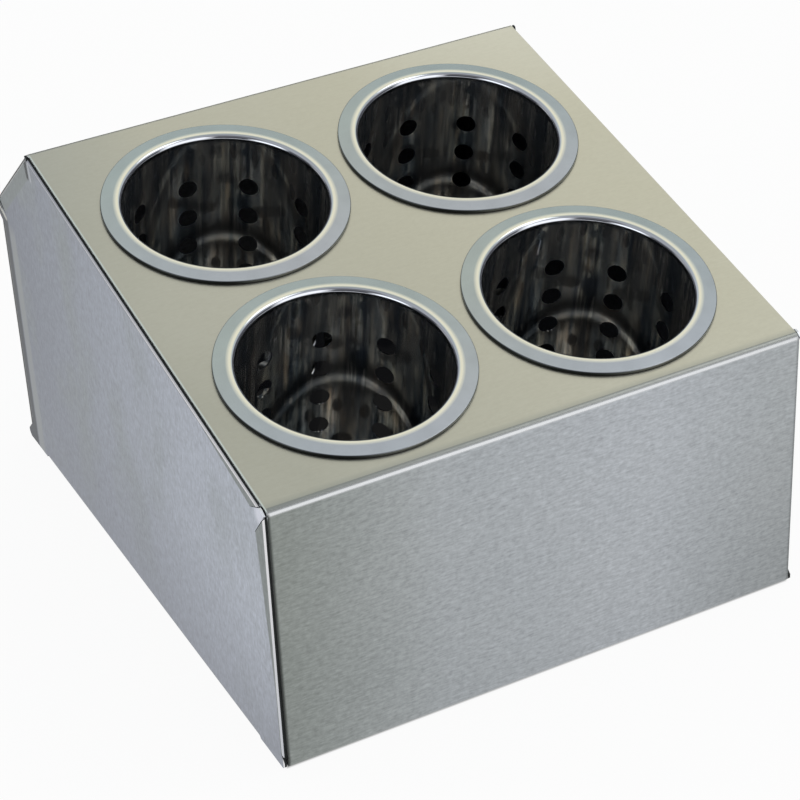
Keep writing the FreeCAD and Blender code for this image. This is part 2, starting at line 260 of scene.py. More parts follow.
def finish_brushed(nodes, colour, rough, strokes, strength, painted_shade):
    """Brushed metal with its strokes in relief, duller and less metallic where shade is painted."""
    unshaded = nodes.math("SUBTRACT", 1.0, painted_shade)
    grain = nodes.bump(strokes, GRAIN_RELIEF, strength)
    finish_metal(nodes, colour, rough, grain, unshaded, nodes.share(unshaded, 0.5))


# Materials
def brushed(nodes, place, grain, coarse):
    """Grain of brushed sheet, about 0..1: short strokes, finer strokes and a mottle."""
    strokes = nodes.noise(nodes.scaled(place, grain), 1.0, 3.0, 0.6)
    fine = nodes.noise(nodes.scaled(place, [2.3 * value for value in grain]), 1.0, 2.0, 0.5)
    mottle = nodes.noise(place, coarse, 3.0, 0.6)
    tone = nodes.math("ADD", nodes.share(strokes, 0.45), nodes.share(fine, 0.2))
    tone = nodes.math("ADD", tone, nodes.share(mottle, 0.35))
    return nodes.span(tone, 0.3, 0.7), strokes


# Colours of the wrap sheet
# painted light: the top's colours warm and brighten towards the right and the back
TOP_LEFT = rgb(0.385, 0.385, 0.338)
TOP_RIGHT = rgb(0.560, 0.540, 0.440)
TOP_FAR_RIGHT = rgb(0.655, 0.640, 0.560)
TOP_FAR_LEFT = rgb(0.345, 0.352, 0.325)
# painted light: the front's colours, brightest right of its middle and duller at its foot
FRONT_LEFT = rgb(0.245, 0.268, 0.250)
FRONT_MIDDLE = rgb(0.375, 0.398, 0.412)
FRONT_GLOW = rgb(0.440, 0.465, 0.500)
FRONT_FOOT = rgb(0.235, 0.252, 0.258)
WRAP_CLOUD = grey(0.62)
# painted shade on the top beside the front bend and where the bend starts, and a painted highlight lower on
# the bend
BESIDE_BEND = rgb(0.235, 0.255, 0.245)
BEND_START = rgb(0.215, 0.225, 0.22)
BEND_TURNED = rgb(0.32, 0.33, 0.325)
BEND_HIGHLIGHT = rgb(0.47, 0.48, 0.49)
# painted highlight along the top's left edge, and painted shade in the gap along the front's side edges
EDGE_HIGHLIGHT = rgb(0.50, 0.55, 0.54)
WRAP_SHADE = rgb(0.035, 0.040, 0.036)
# painted highlight and painted shade on the sheared edges
SHEARED_HIGHLIGHT = rgb(0.70, 0.74, 0.74)
SHEARED_SHADE = rgb(0.05, 0.052, 0.05)


def top_colour(nodes, place, spot):
    """Painted light on the top: it warms and brightens towards the right and the back."""
    across = nodes.dot(place, Vector((0.92, 0.39, 0.0)))
    warmth = nodes.math("POWER", nodes.span(across, -0.15, 0.17), 0.8)
    top = nodes.blend(warmth, TOP_LEFT, TOP_RIGHT)
    far_right = nodes.both(nodes.span(spot["X"], 0.03, 0.12), nodes.span(spot["Y"], 0.02, 0.14))
    top = nodes.blend(far_right, top, TOP_FAR_RIGHT)
    far_left = nodes.both(nodes.span(spot["X"], -0.07, -0.13), nodes.span(spot["Y"], -0.03, 0.10))
    return nodes.blend(nodes.share(far_left, 0.7), top, TOP_FAR_LEFT)


def front_colour(nodes, spot):
    """Painted light on the front: brightest right of its middle, greenish at the left, and duller towards
    its foot.
    """
    front = nodes.blend(nodes.span(spot["X"], -0.125, -0.05), FRONT_LEFT, FRONT_MIDDLE)
    glow = nodes.window(spot["X"], -0.07, 0.035, 0.06, 0.12)
    front = nodes.blend(nodes.share(glow, 0.75), front, FRONT_GLOW)
    low = nodes.span(spot["Z"], 0.11, 0.0)
    low = nodes.share(low, nodes.mix(nodes.span(spot["X"], 0.05, 0.13), 0.22, 0.75))
    return nodes.blend(low, front, FRONT_FOOT)


def add_front_bend(nodes, colour, spot, lean):
    """The front bend: painted shade on the top beside it and where it starts to turn, and a painted
    highlight below.
    """
    beside = nodes.span(spot["Y"], FRONT_AT + 6.0 * MM, FRONT_AT + 1.5 * MM, 0.0, 0.6)
    dull = nodes.both(beside, nodes.span(lean["Z"], 0.55, 0.75))
    colour = nodes.blend(dull, colour, BESIDE_BEND)
    turn = nodes.both(nodes.span(lean["Y"], -0.205, -0.26), nodes.span(lean["Z"], 0.60, 0.72, 0.0, 0.9))
    turned = nodes.blend(nodes.span(lean["Z"], 0.80, 0.72), BEND_START, BEND_TURNED)
    colour = nodes.blend(turn, colour, turned)
    painted_highlight = nodes.both(nodes.span(lean["Y"], -0.35, -0.5), nodes.window(lean["Z"], 0.16, 0.30, 0.62, 0.76))
    return nodes.blend(nodes.share(painted_highlight, 0.9), colour, BEND_HIGHLIGHT), painted_highlight


def add_wrap_edges(nodes, colour, spot, lean, flat):
    """A painted highlight along the top's left edge, painted shade along the front's side edges, and
    painted light and shade on the sheared edges.
    """
    inset = nodes.math("MULTIPLY_ADD", nodes.math("ABSOLUTE", spot["X"]), -1 / MM, WRAP_SIDE)
    before_peak = nodes.span(spot["Y"], PEAK_AT, PEAK_AT - 2.0 * MM)
    # painted highlight along the top's left edge
    edge_highlight = nodes.both(nodes.span(inset, 0.75, 0.55), flat, before_peak)
    edge_highlight = nodes.both(edge_highlight, nodes.span(spot["X"], 0.0, -0.01))
    colour = nodes.blend(edge_highlight, colour, EDGE_HIGHLIGHT)
    # painted shade in the gap along the front's side edges, stronger on the left
    on_front = nodes.span(spot["Y"], FRONT_AT + 1.0 * MM, FRONT_AT + 0.3 * MM)
    painted_shade = nodes.both(nodes.span(inset, 1.4, 0.3, 0.0, 0.85), on_front)
    painted_shade = nodes.both(painted_shade, nodes.span(spot["X"], 0.0, 0.1, 1.0, 0.45))
    colour = nodes.blend(painted_shade, colour, WRAP_SHADE)

    # sheared edges get a painted highlight along the top, and painted shade where they stand upright or
    # slope down at the rear
    sheared = nodes.span(nodes.math("ABSOLUTE", lean["X"]), 0.85, 0.95)
    before = nodes.span(spot["Y"], FRONT_AT + 3.5 * MM, FRONT_AT + 1.5 * MM)
    upright = nodes.both(before, nodes.span(spot["Z"], FRONT_TOP_AT - 2.0 * MM, FRONT_TOP_AT - 4.0 * MM))
    rear = nodes.span(spot["Y"], PEAK_AT - 1.0 * MM, PEAK_AT + 1.0 * MM)
    edge = nodes.blend(nodes.math("MAXIMUM", upright, rear), SHEARED_HIGHLIGHT, SHEARED_SHADE)
    return nodes.blend(sheared, colour, edge), painted_shade


def wrap_steel():
    """The sheet that makes front, top and back: satin, level grain, with painted light that makes it cooler
    where it stands upright.
    """
    material, nodes = new_material("satin_steel_across")
    space = nodes.add("ShaderNodeTexCoord")
    place = space.outputs["Object"]
    spot = nodes.parts(place)
    lean = nodes.parts(space.outputs["Normal"])
    tone, strokes = brushed(nodes, place, GRAIN_ACROSS, 420.0)
    flat = nodes.span(lean["Z"], 0.55, 0.95)
    # painted light: the upright faces and the top get differently lit colours of one steel
    colour = nodes.blend(flat, front_colour(nodes, spot), top_colour(nodes, place, spot))
    cloud = nodes.noise(place, 9.0, 3.0, 0.55)
    colour = nodes.blend(nodes.span(cloud, 0.35, 0.7, 0.0, 0.10), colour, WRAP_CLOUD)

    # strokes show on the upright faces and hardly on the top
    depth = nodes.share(nodes.mix(flat, 0.30, 0.06), 2.0)
    swing = nodes.math("MULTIPLY_ADD", nodes.math("SUBTRACT", tone, 0.5), depth, 1.0)
    colour = nodes.scaled(colour, swing)
    colour, painted_highlight = add_front_bend(nodes, colour, spot, lean)
    colour, painted_shade = add_wrap_edges(nodes, colour, spot, lean, flat)

    rough = nodes.math("ADD", nodes.mix(flat, 0.36, 0.30), nodes.share(tone, 0.08))
    # a smoother finish where the bend's highlight is painted
    rough = nodes.mix(painted_highlight, rough, 0.22)
    finish_brushed(nodes, colour, rough, strokes, 0.35, painted_shade)
    return material


def line_mask(nodes, place, start, direction, length, half_width, end_width, aside=0.0):
    """1 on a straight line in the plane of the side, from a point (Y, Z) in millimetres."""
    along_line = Vector((0.0, *direction)).normalized()
    beside_line = Vector((0.0, -along_line.z, along_line.y))
    offset = nodes.vector_math("SUBTRACT", place, Vector((0.0, *start)) * MM)
    along = nodes.dot(offset, along_line / MM)
    beside = nodes.math("SUBTRACT", nodes.dot(offset, beside_line / MM), aside)
    here = nodes.span(along, 0.0, length, half_width, end_width)
    share = nodes.math("DIVIDE", nodes.math("ABSOLUTE", beside), here)
    across = nodes.span(share, 0.6, 1.2, 1.0, 0.0)
    return nodes.both(across, nodes.window(along, -2.0, 0.0, length - 1.5, length))


# Colours of the sides
# painted light: the side's web is lighter towards the front
WEB_REAR = rgb(0.176, 0.194, 0.235)
WEB_FRONT = rgb(0.425, 0.458, 0.522)
WEB_PATCH = rgb(0.235, 0.262, 0.262)
WEB_FOOT = rgb(0.225, 0.242, 0.288)
# painted shade on the strips that lean away beside the folds
STRIP_FRONT = rgb(0.190, 0.212, 0.204)
STRIP_REAR = rgb(0.188, 0.214, 0.214)
# painted highlight on the folds, dimmer towards the back, at the foot and on the right, and dark at the
# rear
FOLD_FRONT = rgb(0.78, 0.77, 0.79)
FOLD_MIDDLE = rgb(0.46, 0.47, 0.52)
FOLD_FOOT = rgb(0.42, 0.45, 0.50)
FOLD_RIGHT = rgb(0.42, 0.44, 0.47)
FOLD_REAR = rgb(0.10, 0.11, 0.11)
# painted shade where the folds turn in behind the wrap
TUCKED_SHADE = rgb(0.035, 0.038, 0.037)
CUT_EDGE = rgb(0.60, 0.62, 0.66)
# painted shade on the back fold, and a paler painted highlight beside it
BACK_FOLD_SHADE = rgb(0.035, 0.038, 0.042)
BACK_STRIP_HIGHLIGHT = rgb(0.30, 0.315, 0.31)
# painted highlights on the front tips, painted glints beside the slits, and painted shade along the slits
FOOT_TIP_HIGHLIGHT = rgb(0.80, 0.80, 0.82)
CORNER_TIP_HIGHLIGHT = rgb(0.70, 0.72, 0.80)
PEAK_GLINT = rgb(0.48, 0.50, 0.53)
KNEE_GLINT = rgb(0.56, 0.56, 0.51)
SLIT_SHADE = rgb(0.045, 0.048, 0.05)


def flat_distance(nodes, place, corner):
    """Distance in the plane of the side from a corner (Y, Z) in millimetres."""
    offset = nodes.vector_math("SUBTRACT", place, Vector((0.0, *corner)) * MM)
    return nodes.vector_math("LENGTH", nodes.scaled(offset, (0.0, 1.0, 1.0)), output="Value")


def web_colour(nodes, place, spot, swing):
    """Patches of blue and of greenish grey, with painted light that makes them lighter towards the front,
    and duller at the foot.
    """
    cloud = nodes.noise(nodes.scaled(place, (1.0, 1.0, 0.6)), 22.0, 3.0, 0.55)
    forward = nodes.span(spot["Y"], 0.15, -0.14)
    web = nodes.blend(forward, WEB_REAR, WEB_FRONT)
    patchy = nodes.share(nodes.span(cloud, 0.48, 0.66), nodes.span(forward, 0.9, 0.2, 0.3, 0.75))
    web = nodes.blend(patchy, web, WEB_PATCH)
    web = nodes.blend(nodes.span(spot["Z"], 0.08, 0.0, 0.0, 0.75), web, WEB_FOOT)
    return nodes.scaled(web, swing)


def add_folds(nodes, colour, place, spot, lean, outward):
    """The folds: a painted highlight, dimmer towards the back, at the foot and on the right side and dark
    at the rear, then painted shade where they turn in behind the wrap, but for their cut ends.
    """
    turned = nodes.math("ADD", outward, nodes.span(lean["Z"], 0.1, 0.3, 0.0, 0.16))
    fold = nodes.both(nodes.span(turned, 0.66, 0.76), nodes.span(outward, 0.985, 0.992, 1.0, 0.0))
    rear = nodes.span(spot["Y"], PEAK_AT - 1.0 * MM, PEAK_AT + 3.0 * MM)
    painted_highlight = nodes.blend(nodes.span(spot["Y"], -0.12, 0.09), FOLD_FRONT, FOLD_MIDDLE)
    painted_highlight = nodes.blend(nodes.span(spot["Z"], 0.12, 0.01, 0.0, 0.6), painted_highlight, FOLD_FOOT)
    painted_highlight = nodes.blend(nodes.span(spot["X"], 0.0, 0.1), painted_highlight, FOLD_RIGHT)
    painted_highlight = nodes.blend(rear, painted_highlight, FOLD_REAR)
    colour = nodes.blend(fold, colour, painted_highlight)

    near_front = nodes.span(spot["Y"], FRONT_AT + 16.5 * MM, FRONT_AT + 14.5 * MM)
    near_top = nodes.span(spot["Z"], FRONT_TOP_AT - 15.0 * MM, FRONT_TOP_AT - 13.5 * MM)
    slant = nodes.math("MAXIMUM", nodes.math("ABSOLUTE", lean["Y"]), nodes.math("ABSOLUTE", lean["Z"]))
    cut = nodes.both(near_top, near_front, nodes.span(slant, 0.92, 0.86))
    at_tip = nodes.span(flat_distance(nodes, place, FRONT_TOP), 7.5 * MM, 6.5 * MM)
    cut = nodes.both(nodes.math("MAXIMUM", cut, at_tip), nodes.span(outward, 0.2, 0.1))
    # painted shade where the folds turn in behind the wrap
    tucked = nodes.span(turned, 0.76, 0.66)
    colour = nodes.blend(tucked, colour, nodes.blend(cut, TUCKED_SHADE, CUT_EDGE))
    return colour, fold, nodes.math("SUBTRACT", tucked, cut, clamp=True)


def add_back_fold(nodes, colour, place, spot):
    """The wide back fold gets painted shade, with a paler painted highlight on a strip of the side before
    it.
    """
    from_knee = nodes.vector_math("SUBTRACT", place, Vector((0.0, *KNEE)) * MM)
    down = Vector((0.0, -KNEE_MITRE[1], KNEE_MITRE[0]))
    below_knee = nodes.span(nodes.dot(from_knee, down), 0.4 * MM, 1.4 * MM)
    behind = nodes.span(spot["Y"], BACK_AT - 14.3 * MM, BACK_AT - 12.7 * MM)
    dark = nodes.share(nodes.both(behind, below_knee), 0.72)
    colour = nodes.blend(dark, colour, BACK_FOLD_SHADE)
    edges = [BACK_AT - inset * MM for inset in (23.5, 20.5, 15.3, 13.7)]
    paler = nodes.both(nodes.window(spot["Y"], *edges), nodes.span(spot["Z"], 0.132, 0.125))
    return nodes.blend(nodes.share(paler, 0.6), colour, BACK_STRIP_HIGHLIGHT), dark


def add_corners(nodes, colour, place, spot, outward, depth):
    """Painted highlights on the flat tips at the front, painted glints beside the slits at the peak and the
    knee, and painted shade along the slits.
    """
    low_front = nodes.span(spot["Y"], FRONT_AT + 2.2 * MM, FRONT_AT + 1.8 * MM)
    foot = nodes.both(low_front, nodes.span(spot["Z"], 0.011, 0.009), nodes.span(outward, 0.97, 0.99))
    colour = nodes.blend(foot, colour, FOOT_TIP_HIGHLIGHT)
    reach = flat_distance(nodes, place, (FRONT_TOP[0] + 3.5, FRONT_TOP[1] - 3.0))
    tip = nodes.both(nodes.span(reach, 7.5 * MM, 3.0 * MM), nodes.span(depth, 0.05, 0.01))
    colour = nodes.blend(nodes.share(tip, 0.85), colour, CORNER_TIP_HIGHLIGHT)

    outer = nodes.span(outward, 0.90, 0.93)
    peak_glint = line_mask(nodes, place, PEAK, PEAK_MITRE, 14.0, 1.5, 1.2, -1.8)
    knee_glint = line_mask(nodes, place, KNEE, KNEE_MITRE, 15.0, 1.5, 1.1, 1.4)
    colour = nodes.blend(nodes.both(outer, nodes.share(peak_glint, 0.6)), colour, PEAK_GLINT)
    colour = nodes.blend(nodes.both(outer, knee_glint), colour, KNEE_GLINT)
    peak_slit = line_mask(nodes, place, PEAK, PEAK_MITRE, 13.0, 4.2, 1.5, 2.2)
    knee_slit = line_mask(nodes, place, KNEE, KNEE_MITRE, 9.0, 0.7, 0.7)
    slit = nodes.both(outer, nodes.math("MAXIMUM", nodes.share(peak_slit, 0.85), knee_slit))
    return nodes.blend(slit, colour, SLIT_SHADE), slit


def side_steel():
    """The folds sides: bluish satin with an upright grain, painted highlights on the folds and strips of
    painted shade beside them.
    """
    material, nodes = new_material("satin_steel_upright")
    space = nodes.add("ShaderNodeTexCoord")
    place = space.outputs["Object"]
    spot = nodes.parts(place)
    lean = nodes.parts(space.outputs["Normal"])
    outward = nodes.math("ABSOLUTE", lean["X"])
    depth = nodes.math("MULTIPLY_ADD", nodes.math("ABSOLUTE", spot["X"]), -1 / MM, WEB)
    tone, strokes = brushed(nodes, place, GRAIN_UPRIGHT, 380.0)
    swing = nodes.math("MULTIPLY_ADD", nodes.math("SUBTRACT", tone, 0.5), 0.75, 1.0)
    web = web_colour(nodes, place, spot, swing)

    # the strip that leans away beside each fold, painted a darker grey as painted shade
    strip = nodes.both(nodes.window(depth, 0.004, 0.03, 0.6, 0.7), nodes.span(outward, 0.985, 0.99))
    strip_tone = nodes.blend(nodes.span(spot["Y"], -0.05, 0.10), STRIP_FRONT, STRIP_REAR)
    colour = nodes.blend(nodes.share(strip, 0.9), web, nodes.scaled(strip_tone, swing))

    colour, fold, tucked = add_folds(nodes, colour, place, spot, lean, outward)
    colour, back_fold = add_back_fold(nodes, colour, place, spot)
    colour, slit = add_corners(nodes, colour, place, spot, outward, depth)
    # painted shade: the tucked folds, the slits and the back fold
    painted_shade = nodes.math("MAXIMUM", tucked, nodes.math("MAXIMUM", slit, back_fold))
    rough = nodes.math("ADD", 0.34, nodes.share(tone, 0.08))
    rough = nodes.mix(fold, rough, 0.24)
    finish_brushed(nodes, colour, rough, strokes, 0.3, painted_shade)
    return material


# Colours of the cups
# streaks in the bore: partly draw marks and partly painted reflections, with painted tan reflections and
# glints
BORE_DARK = rgb(0.23, 0.265, 0.305)
BORE_PALE = rgb(0.66, 0.65, 0.62)
BORE_TAN = rgb(0.90, 0.77, 0.64)
BORE_GLINT = rgb(0.97, 0.96, 0.91)
BORE_CORNER_SHADE = rgb(0.045, 0.047, 0.05)
FLOOR_DARK = rgb(0.19, 0.20, 0.21)
FLOOR_PALE = rgb(0.48, 0.465, 0.425)
# painted light on the rim: its front and rear tints, its crest, the inside of its lip and its lit and
# shaded outer edge
RIM_REAR = rgb(0.34, 0.385, 0.385)
RIM_FRONT = rgb(0.37, 0.395, 0.445)
CREST_HIGHLIGHT = rgb(0.70, 0.685, 0.59)
LIP_INSIDE = rgb(0.56, 0.58, 0.63)
RIM_EDGE_LIT = rgb(0.32, 0.33, 0.32)
RIM_EDGE_SHADED = rgb(0.06, 0.065, 0.065)


def bore_colour(nodes, own, height, narrow, smear):
    """Streaks down the draw that are partly painted reflection, painted tan reflections and glints, painted
    shade in the corner at the bottom, and a cloudy floor.
    """
    broad = nodes.noise(nodes.scaled(own, (95.0, 95.0, 9.0)), 1.0, 3.0, 0.6)
    patch = nodes.noise(nodes.scaled(own, (50.0, 50.0, 34.0)), 1.0, 1.0, 0.5)
    colour = nodes.blend(nodes.span(broad, 0.44, 0.56), BORE_DARK, BORE_PALE)
    tan = nodes.both(nodes.span(patch, 0.50, 0.58), nodes.span(narrow, 0.42, 0.58))
    colour = nodes.blend(nodes.share(tan, 0.6), colour, BORE_TAN)
    glint = nodes.both(nodes.span(narrow, 0.52, 0.60), nodes.span(smear, 0.50, 0.56))
    colour = nodes.blend(glint, colour, BORE_GLINT)
    # painted shade in the corner above the floor
    in_corner = nodes.span(height, (CORNER[1] + 9.8) * MM, (CORNER[1] + 0.8) * MM)
    colour = nodes.blend(in_corner, colour, BORE_CORNER_SHADE)
    cloudy = nodes.math("ADD", nodes.share(smear, 0.5), nodes.share(patch, 0.5))
    worn = nodes.blend(nodes.span(cloudy, 0.36, 0.64), FLOOR_DARK, FLOOR_PALE)
    on_floor = nodes.span(height, (FLOOR_LEVEL + 1.7) * MM, (FLOOR_LEVEL + 0.1) * MM)
    return nodes.blend(on_floor, colour, worn)


def rim_colour(nodes, own, radius, smear):
    """Painted light on the rim: front and rear tinted apart, a lit and a shaded outer edge, a creamy
    painted highlight on the crest and a paler painted highlight inside the lip.
    """
    forward = nodes.span(nodes.parts(own)["Y"], 0.03, -0.05)
    colour = nodes.blend(forward, RIM_REAR, RIM_FRONT)
    colour = nodes.scaled(colour, nodes.span(smear, 0.3, 0.7, 0.94, 1.06))
    crest = nodes.window(radius, *((BORE + step) * MM for step in (1.4, 1.9, 2.8, 4.4)))
    colour = nodes.blend(crest, colour, CREST_HIGHLIGHT)
    inside = nodes.span(radius, (BORE + 1.8) * MM, (BORE + 1.2) * MM)
    colour = nodes.blend(inside, colour, LIP_INSIDE)
    shaded = nodes.span(nodes.dot(own, Vector((-0.85, -0.53, 0.0))), 0.0, 0.045)
    edge = nodes.blend(shaded, RIM_EDGE_LIT, RIM_EDGE_SHADED)
    return nodes.blend(nodes.span(radius, (RIM_RADIUS - 0.5) * MM, (RIM_RADIUS - 0.1) * MM), colour, edge)


def bore_mask(nodes, radius, height):
    """1 on the inner skin: below the bore, what lies nearest to the centre of the corner's round."""
    beyond = nodes.math("MAXIMUM", nodes.math("SUBTRACT", radius, CORNER[0] * MM), 0.0)
    below = nodes.math("MINIMUM", nodes.math("SUBTRACT", height, CORNER[1] * MM), 0.0)
    from_corner = nodes.math("SQRT", nodes.math("ADD", nodes.squared(beyond), nodes.squared(below)))
    inner_skin = nodes.span(from_corner, (FLOOR_ROUND - 0.2) * MM, (FLOOR_ROUND - 0.35) * MM)
    return nodes.both(inner_skin, nodes.span(height, -0.6 * MM, -2.2 * MM))


def cup_steel():
    """Polished drawn steel with painted light: pale on the rim, a creamy painted highlight on its crest,
    dark and streaky down the bore with painted reflections.
    """
    material, nodes = new_material("bright_steel")
    own = nodes.add("ShaderNodeAttribute", attribute_name="own_place").outputs["Vector"]
    height = nodes.parts(own)["Z"]
    radius = nodes.vector_math("LENGTH", nodes.scaled(own, (1.0, 1.0, 0.0)), output="Value")
    narrow = nodes.noise(nodes.scaled(own, (420.0, 420.0, 14.0)), 1.0, 2.0, 0.55)
    smear = nodes.noise(nodes.scaled(own, (60.0, 60.0, 60.0)), 1.0, 3.0, 0.6)
    bore = bore_mask(nodes, radius, height)
    upper = rim_colour(nodes, own, radius, smear)
    colour = nodes.blend(bore, upper, bore_colour(nodes, own, height, narrow, smear))

    rough = nodes.mix(nodes.span(radius, (BORE + 1.4) * MM, (BORE + 3.0) * MM), 0.08, 0.17)
    rough = nodes.mix(bore, rough, 0.04)
    rough = nodes.math("ADD", rough, nodes.share(smear, 0.04))
    metal = nodes.mix(bore, 1.0, 0.94)
    finish_metal(nodes, colour, rough, nodes.bump(narrow, STREAK_RELIEF, 0.12), metal)
    return material


# Cup meshes
class Skin:
    """Vertices and faces with a normal of their own at each corner."""

    def __init__(self):
        self.points = []
        self.faces = []
        self.normals = []

    def add_point(self, point):
        self.points.append(point)
        return len(self.points) - 1

    def add_face(self, corners, normals):
        self.faces.append(corners)
        self.normals.extend(normals)


def polar(radius, angle, height):
    return (radius * math.cos(angle), radius * math.sin(angle), height)


def arc(centre, radius, start, end, steps):
    """Profile points (radius, height) with their normals along a round, by angles in degrees."""
    points = []
    for number in range(steps + 1):
        angle = math.radians(start + (end - start) * number / steps)
        normal = (math.cos(angle), math.sin(angle))
        points.append((centre[0] + radius * normal[0], centre[1] + radius * normal[1], normal))
    return points


def flipped(points):
    return [(radius, height, (-normal[0], -normal[1])) for radius, height, normal in points]


def straight(start, end):
    """A straight stretch of the profile, with the normal on its left."""
    along = (end[0] - start[0], end[1] - start[1])
    length = math.hypot(*along)
    normal = (-along[1] / length, along[0] / length)
    return [(*start, normal), (*end, normal)]


def lathe(skin, profile, angles):
    """Bands of faces round the axis through the profile's points, with the outside on its left."""
    rings = [
        [skin.add_point(polar(radius, angle, height)) for angle in angles] for radius, height, _ in profile
    ]
    count = len(angles)
    for (ring, following), (first, second) in zip(zip(rings, rings[1:]), zip(profile, profile[1:])):
        for number in range(count):
            after = (number + 1) % count
            corners = [ring[number], following[number], following[after], ring[after]]
            spots = [(first, number), (second, number), (second, after), (first, after)]
            normals = [polar(point[2][0], angles[spot], point[2][1]) for point, spot in spots]
            skin.add_face(corners, normals)


def cell_border(width, height):
    """Points round a rectangle, evenly along each side, anticlockwise from the lower left."""
    across = [-width / 2 + width * step / CELL_STEPS for step in range(CELL_STEPS)]
    up = [-height / 2 + height * step / CELL_RISE_STEPS for step in range(CELL_RISE_STEPS)]
    return (
        [(u, -height / 2) for u in across]
        + [(width / 2, v) for v in up]
        + [(-u, height / 2) for u in across]
        + [(-width / 2, -v) for v in up]
    )


def sector_border(inner, outer, half, steps):
    """Points round a sector of a ring whose middle lies along u, anticlockwise."""
    turns = [-half + 2 * half * step / steps for step in range(steps)]
    climb = [(outer - inner) * step / CELL_RISE_STEPS for step in range(CELL_RISE_STEPS)]
    corners = (
        [(outer, turn) for turn in turns]
        + [(outer - rise, half) for rise in climb]
        + [(inner, -turn) for turn in turns]
        + [(inner + rise, -half) for rise in climb]
    )
    return [polar(radius, turn, 0.0)[:2] for radius, turn in corners]


def holed_patch(skin, heart, axis, sides):
    """A patch of sheet with a round hole: both faces, and the punched wall between them.

    Each side is the border of that face, a function that lays a flat point on it with its normal, and
    whether the face looks along the patch's own normal.
    """
    rims = []
    for border, lay, outward in sides:
        rings = []
        for share in CELL_RINGS:
            ring = []
            for u, v in border:
                angle = math.atan2(v - heart[1], u - heart[0])
                across, up = polar(HOLE_RADIUS, angle, 0.0)[:2]
                hole = (heart[0] + across, heart[1] + up)
                point, normal = lay(*(near + (far - near) * share for near, far in zip(hole, (u, v))))
                ring.append((skin.add_point(point), normal))
            rings.append(ring)
        rims.append(rings[0])
        for inner, outer in zip(rings, rings[1:]):
            for number in range(len(border)):
                after = (number + 1) % len(border)
                corners = [inner[number], outer[number], outer[after], inner[after]]
                if not outward:
                    corners.reverse()
                skin.add_face([index for index, _ in corners], [normal for _, normal in corners])
    add_hole_wall(skin, rims, axis)


def add_hole_wall(skin, rims, axis):
    """The wall of a hole between its inner and its outer rim. Its normals point to the hole's axis."""
    inner, outer = ([index for index, _ in rim] for rim in rims)
    heart = sum((Vector(skin.points[index]) for index in inner), Vector()) / len(inner)

    def towards_axis(index):
        offset = Vector(skin.points[index]) - heart
        offset -= axis * offset.dot(axis)
        return tuple(-offset.normalized())

    for number in range(len(inner)):
        after = (number + 1) % len(inner)
        corners = [outer[number], outer[after], inner[after], inner[number]]
        skin.add_face(corners, [towards_axis(index) for index in corners])


def wall_patch(skin, middle, centre):
    """One hole of the wall, in its share of the cylinder."""
    step = 2 * math.pi / HOLE_COLUMNS

    def lay_on(radius, side):
        def lay(u, v):
            around = middle + u / radius
            return polar(radius, around, centre + v), polar(side, around, 0.0)

        return lay

    sides = [
        (cell_border(step * radius, ROW_PITCH), lay_on(radius, side), side > 0)
        for radius, side in ((BORE, -1), (BORE + CUP_SHEET, 1))
    ]
    holed_patch(skin, (0.0, 0.0), Vector(polar(1.0, middle, 0.0)), sides)


def drained_floor(skin, angles):
    """Floor and base with a drain hole in the middle and a ring of them round it."""
    half = math.pi / DRAIN_HOLES
    steps = len(angles) // DRAIN_HOLES
    up = Vector((0.0, 0.0, 1.0))

    def lay_at(height, side, turn):
        def lay(u, v):
            around = math.atan2(v, u) + turn
            return polar(math.hypot(u, v), around, height), (0.0, 0.0, float(side))

        return lay

    levels = ((BASE_LEVEL, -1), (FLOOR_LEVEL, 1))
    sector = sector_border(DRAIN_MIDDLE, CORNER[0], half, steps)
    for number in range(DRAIN_HOLES):
        turn = angles[0] + (2 * number + 1) * half
        sides = [(sector, lay_at(height, side, turn), side > 0) for height, side in levels]
        holed_patch(skin, (DRAIN_CIRCLE, 0.0), up, sides)
    middle = [polar(DRAIN_MIDDLE, angle, 0.0)[:2] for angle in angles]
    sides = [(middle, lay_at(height, side, 0.0), side > 0) for height, side in levels]
    holed_patch(skin, (0.0, 0.0), up, sides)


